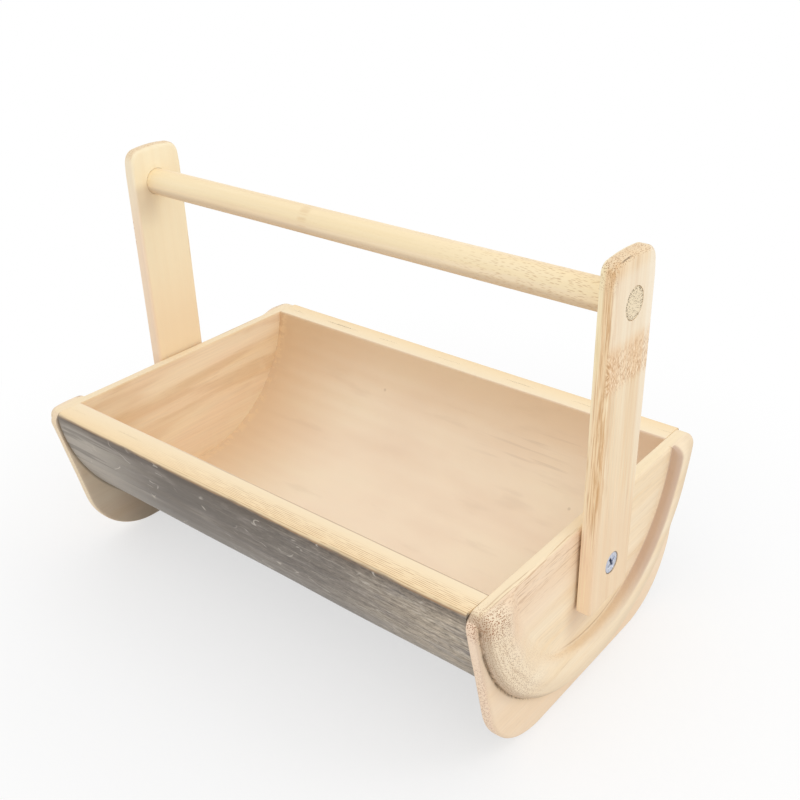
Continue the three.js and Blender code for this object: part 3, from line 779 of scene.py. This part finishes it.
armWood = bambooMaterial("sandedBambooSlat", armLook, armMarks)
for side, trim in armTrim.items():
    shape = atSide(side, armGrids(dict(arm, **trim)))
    makePiece("handleArm" + side, shape, armWood, "handle", ["handle_arm_" + side.lower()])


# handle bar: turned bamboo dowel, grain along the bar, its cut ends flush with the arms

bar = dict(
    radius=6.6, halfLength=138.3, centreZ=181.5, chamfer=0.3, relief=0.05, swellMm=70,
    freeTo=131, calmMm=8, stations=150, faceRings=9, cols=72,
)
barLook = dict(
    grain="x", dashMm=0.8, dashLongMm=6, dotMm=0.72, bandMm=4.0, bandLongMm=110,
    pale="#fdeaca", middle="#fbe5bf", deep="#f6dbb0", warm="#f8dfb9", fineDark=0.965,
    fibre="#6f5738", cut="#f0dfc0", cutShade=0.9, dashShare=0.08, dotShare=0.85,
)


def barGrids(d):
    # a circle carried along X with slight hand-turned relief, closed by flat chamfered ends
    x = np.linspace(-d["halfLength"] + d["chamfer"], d["halfLength"] - d["chamfer"], d["stations"])
    middle = np.stack([np.full_like(x, d["radius"]), x], -1)
    faceR = np.linspace(0, d["radius"] - d["chamfer"], d["faceRings"])
    right = np.stack([faceR[::-1], np.full_like(faceR, d["halfLength"])], -1)
    left = np.stack([faceR, np.full_like(faceR, -d["halfLength"])], -1)
    grid = turnedGrid(np.concatenate([left, middle, right]), d["cols"], d["centreZ"])
    free = np.clip((d["freeTo"] - abs(grid[..., 0])) / d["calmMm"], 0, 1)
    swell = 1 + free * d["relief"] * wobble(grid[..., 0], 0, d["swellMm"], 1) / d["radius"]
    grid[..., 1] *= swell
    grid[..., 2] = d["centreZ"] + (grid[..., 2] - d["centreZ"]) * swell
    return [(grid, True)]


def barMarks(tree, place, colour):
    # a painted highlight along the upper front and painted shade underneath between the arms, short dark
    # fibres towards the right end, a node smudge left of the middle, and dark dots and a darker rim on the
    # cut ends
    spot, x, y, z, out = place["spot"], place["x"], place["y"], place["z"], place["out"]
    fine, dots = place["fine"], place["dots"]
    radius = fromAxis(tree, spot, bar["centreZ"])
    fibres = pattern(tree, "Voronoi", spot, grain("x", 0.42, 3.6))
    between, cutEnd = (out, 133, 131), (out, 138, 138.2)
    return stainsAndPaintedLight(
        tree, colour,
        # painted highlight along the bar's upper front
        (0.5, between, (z, 181.8, 183.6), (y, 0, -2.5), "#ffebbe"),
        # painted shade along the bar's underside
        (0.42, between, (z, 181.4, 178.8), "#b09a8a"),
        (0.62, (x, 30, 110), (out, 131, 129), (fibres, 0.4, 0.16), "#bb9060"),
        (0.3, (x, -28, -25), (x, -20, -23), (fine, 0.42, 0.62), "#d6ac7c"),
        (0.3, cutEnd, (dots, 0.5, 0.26), "#7d6440"),
        (0.6, cutEnd, (radius, 4.8, 6.2), (dots, 0.6, 0.36), "#5d4932"),
    )


barWood = bambooMaterial("turnedBambooDowel", barLook, barMarks)
makePiece("handleBar", barGrids(bar), barWood, "handle", ["handle_bar"])


# pivot hardware: bright zinc-plated steel, countersunk cross-head screws and plain washers

screw = dict(
    headRadius=5.0, headX=138.15, rim=0.12, dome=0.12, lip=0.35, neck=2.1, core=1.65, thread=0.5, pitch=1.8,
    tipX=125.9, tipLong=1.6, wing=3.1, wingWidth=0.7, endSlope=0.35, sideSlope=0.16,
    recessDeep=1.9, recessEnd=0.9, turnDeg=28, headRings=46, shankRows=60, runOut=5, cols=96,
)
washer = dict(inX=130.72, thick=0.8, outer=5.5, hole=2.6, edge=0.15, cols=64)


def zincMaterial():
    # zinc plate on steel: cool pale metal, slightly cloudy, with painted shade in the cross and in the gap
    # round the rim
    material, tree = newMaterial("brightZincPlate")
    place = readPlace(tree)
    cloud = pattern(tree, "Noise", place["spot"], [1.4] * 3, Detail=3.0)
    radius = fromAxis(tree, place["spot"], arm["pivotZ"])
    colour = addNode(tree, "ValToRGB", {"Fac": cloud}, stops=[
        (0.3, "#aab2c6"), (0.5, "#c3c8d6"), (0.7, "#d6d8de"),
    ])
    colour = stainsAndPaintedLight(
        tree, colour,
        # painted shade in the cross recess
        (0.6, (place["out"], 137.9, 137.2), (radius, 3.4, 3.0), "#3c4154"),
        # painted shade in the gap round the head's rim
        (0.65, (radius, 4.35, 4.85), (place["out"], 136, 137), "#74746f"),
    )
    rough = addNode(tree, "MapRange", {
        "Value": cloud, "From Min": noiseLow, "From Max": noiseHigh, "To Min": 0.22, "To Max": 0.38,
    })
    shader = addNode(tree, "BsdfPrincipled", {"Base Color": colour, "Metallic": 1.0, "Roughness": rough})
    addNode(tree, "OutputMaterial", {"Surface": shader})
    return material


def screwGrids(d, centreZ):
    # head: a disc with a tapered cross sunk in it; below it a cone, and a shank whose radius swells
    # with the cosine of the turn plus the height over the pitch, which winds a thread round it
    a = np.linspace(0, 2 * np.pi, d["cols"], endpoint=False)
    r = np.linspace(0, d["headRadius"] - d["rim"], d["headRings"])[:, None]
    u = r * np.cos(a - math.radians(d["turnDeg"]))
    v = r * np.sin(a - math.radians(d["turnDeg"]))
    wings = [
        np.minimum((d["wing"] - abs(p)) / d["endSlope"], (d["wingWidth"] - abs(q)) / d["sideSlope"])
        for p, q in ((u, v), (v, u))
    ]
    inCross = np.clip(np.maximum(*wings), 0, 1)
    deep = d["recessDeep"] + (d["recessEnd"] - d["recessDeep"]) * np.clip(r / d["wing"], 0, 1)
    x = d["headX"] - d["dome"] * (r / d["headRadius"]) ** 2 - deep * inCross
    top = np.stack([x, r * np.cos(a), centreZ + r * np.sin(a)], -1)
    seatX = d["headX"] - d["lip"]
    neckX = seatX - (d["headRadius"] - d["neck"])
    shankX = np.linspace(neckX - 0.2, d["tipX"] + d["tipLong"], d["shankRows"])
    profile = np.concatenate([
        [(d["headRadius"] - d["rim"], x[-1, 0]), (d["headRadius"], d["headX"] - d["dome"] - 0.1)],
        [(d["headRadius"], seatX), (d["neck"], neckX)],
        np.stack([np.full_like(shankX, d["core"]), shankX], -1),
        [(0.7, d["tipX"] + 0.5), (0.0, d["tipX"])],
    ])
    grid = turnedGrid(profile, d["cols"], centreZ)
    row = np.arange(d["shankRows"])
    ridge = np.zeros(len(profile))
    ridge[4:-2] = d["thread"] * np.clip(np.minimum(row, row[::-1]) / d["runOut"], 0, 1)
    wave = np.clip(np.cos(2 * np.pi * profile[:, 1:] / d["pitch"] + a), 0, 1) ** 2
    grow = 1 + ridge[:, None] * wave / np.maximum(profile[:, :1], 0.5)
    grid[..., 1] *= grow
    grid[..., 2] = centreZ + (grid[..., 2] - centreZ) * grow
    return [(top, True), (grid, True)]


def washerGrids(d, centreZ):
    # a flat ring with broken edges
    e, x0, x1 = d["edge"], d["inX"], d["inX"] + d["thick"]
    hole, outer = d["hole"], d["outer"]
    ring = np.array([
        (hole, x0 + e), (hole + e, x0), (outer - e, x0), (outer, x0 + e),
        (outer, x1 - e), (outer - e, x1), (hole + e, x1), (hole, x1 - e), (hole, x0 + e),
    ])
    return [(turnedGrid(ring, d["cols"], centreZ), True)]


zinc = zincMaterial()
for side in ("Right", "Left"):
    for label, shape in (
        ("Screw", screwGrids(screw, arm["pivotZ"])), ("Washer", washerGrids(washer, arm["pivotZ"])),
    ):
        nodeName = "pivot_" + label.lower() + "_" + side.lower()
        makePiece("pivot" + label + side, atSide(side, shape), zinc, "tray", [nodeName], sharpDeg=32)


# joint pegs: split bamboo, hidden in the joints, so the solids stay as they are

pegLook = dict(barLook, pale="#ecd3a6", middle="#dfc08c", deep="#cda86f", warm="#d8b37c", cutShade=0.4)
pegWood = bambooMaterial("splitBambooPeg", pegLook)
for nodeName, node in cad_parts.items():
    if nodeName.startswith("joint_peg"):
        node.data.materials.clear()
        node.data.materials.append(pegWood)
print("pegs dressed")


# stage: white floor, white world, soft light, and the photograph's camera

stage = dict(floorSize=12.0, floorZ=-0.0004, floor="#f7f7f7", keepShadow=0.38, clearFrom=0.12, clearTo=0.34)
light = dict(
    sky=0.85, aim=(0, 0, 0.08),
    lamps=[
        dict(name="overhead", place=(0.2, -0.1, 1.6), size=1.6, watts=2.6),
        dict(name="rightFill", place=(1.5, -0.5, 0.7), size=1.2, watts=1.1),
        dict(name="key", place=(0.8, 0.35, 0.95), size=0.45, watts=1.15),
    ],
)
view = dict(
    eye=(0.29758, -0.32655, 0.33411), right=(0.7761, 0.6301, -0.0237), forward=(-0.5636, 0.6763, -0.4744),
    focalPx=1048.66, imagePx=800, sensorMm=36.0, clipStart=0.01,
)


def seenDirectly(tree):
    # 1 for what the camera sees, straight or in a reflection or through glass
    path = addNode(tree, "LightPath").node.outputs
    seen = addNode(tree, "Math", {0: path["Is Camera Ray"], 1: path["Is Glossy Ray"]}, operation="MAXIMUM")
    return addNode(tree, "Math", {0: seen, 1: path["Is Transmission Ray"]}, operation="MAXIMUM")


floorMesh = bpy.data.meshes.new("floor")
half = stage["floorSize"] / 2
floorMesh.from_pydata(
    [(sx * half, sy * half, stage["floorZ"]) for sx, sy in ((-1, -1), (1, -1), (1, 1), (-1, 1))],
    [], [(0, 1, 2, 3)],
)
floor = bpy.data.objects.new("floor", floorMesh)
bpy.context.scene.collection.objects.link(floor)
floorPaint, tree = newMaterial("whiteFloor")
# the floor takes the shadow, and fades to plain white away from the tray where it is seen
metres = addNode(tree, "TexCoord", out="Object")
reach = addNode(tree, "VectorMath", {0: metres}, out="Value", operation="LENGTH")
clear = addNode(tree, "MapRange", {
    "Value": reach, "From Min": stage["clearFrom"], "From Max": stage["clearTo"],
    "To Min": 1 - stage["keepShadow"], "To Max": 1.0,
}, interpolation_type="SMOOTHSTEP")
clear = addNode(tree, "Math", {0: clear, 1: seenDirectly(tree)}, operation="MULTIPLY")
matte = addNode(tree, "BsdfDiffuse", {"Color": linear(stage["floor"])})
white = addNode(tree, "Emission", {"Color": (1, 1, 1, 1), "Strength": 1.0})
addNode(tree, "OutputMaterial", {"Surface": addNode(tree, "MixShader", {0: clear, 1: matte, 2: white})})
floorMesh.materials.append(floorPaint)

world = bpy.data.worlds.new("studio")
bpy.context.scene.world = world
world.use_nodes = True
tree = world.node_tree
tree.nodes.clear()
strength = addNode(tree, "MapRange", {"Value": seenDirectly(tree), "To Min": light["sky"], "To Max": 1.0})
sky = addNode(tree, "Background", {"Color": (1, 1, 1, 1), "Strength": strength})
addNode(tree, "OutputWorld", {"Surface": sky})

for spec in light["lamps"]:
    lamp = bpy.data.lights.new(spec["name"], "AREA")
    lamp.shape = "DISK"
    lamp.size = spec["size"]
    lamp.energy = spec["watts"]
    lampObject = bpy.data.objects.new(spec["name"], lamp)
    bpy.context.scene.collection.objects.link(lampObject)
    lampObject.location = spec["place"]
    aim = Vector(light["aim"]) - lampObject.location
    lampObject.rotation_euler = aim.to_track_quat("-Z", "Y").to_euler()

forward = np.array(view["forward"]) / np.linalg.norm(view["forward"])
right = np.array(view["right"]) - forward * np.dot(view["right"], forward)
right = right / np.linalg.norm(right)
up = np.cross(right, forward)
lens = bpy.data.cameras.new("camera")
lens.sensor_width = view["sensorMm"]
lens.lens = view["focalPx"] / view["imagePx"] * view["sensorMm"]
lens.clip_start = view["clipStart"]
camera = bpy.data.objects.new("camera", lens)
bpy.context.scene.collection.objects.link(camera)
turn = np.eye(4)
turn[:3, 0], turn[:3, 1], turn[:3, 2], turn[:3, 3] = right, up, -forward, view["eye"]
camera.matrix_world = Matrix(turn.tolist())
bpy.context.scene.camera = camera
bpy.context.scene.view_settings.view_transform = "Standard"
print("stage set")

bpy.context.view_layer.update()
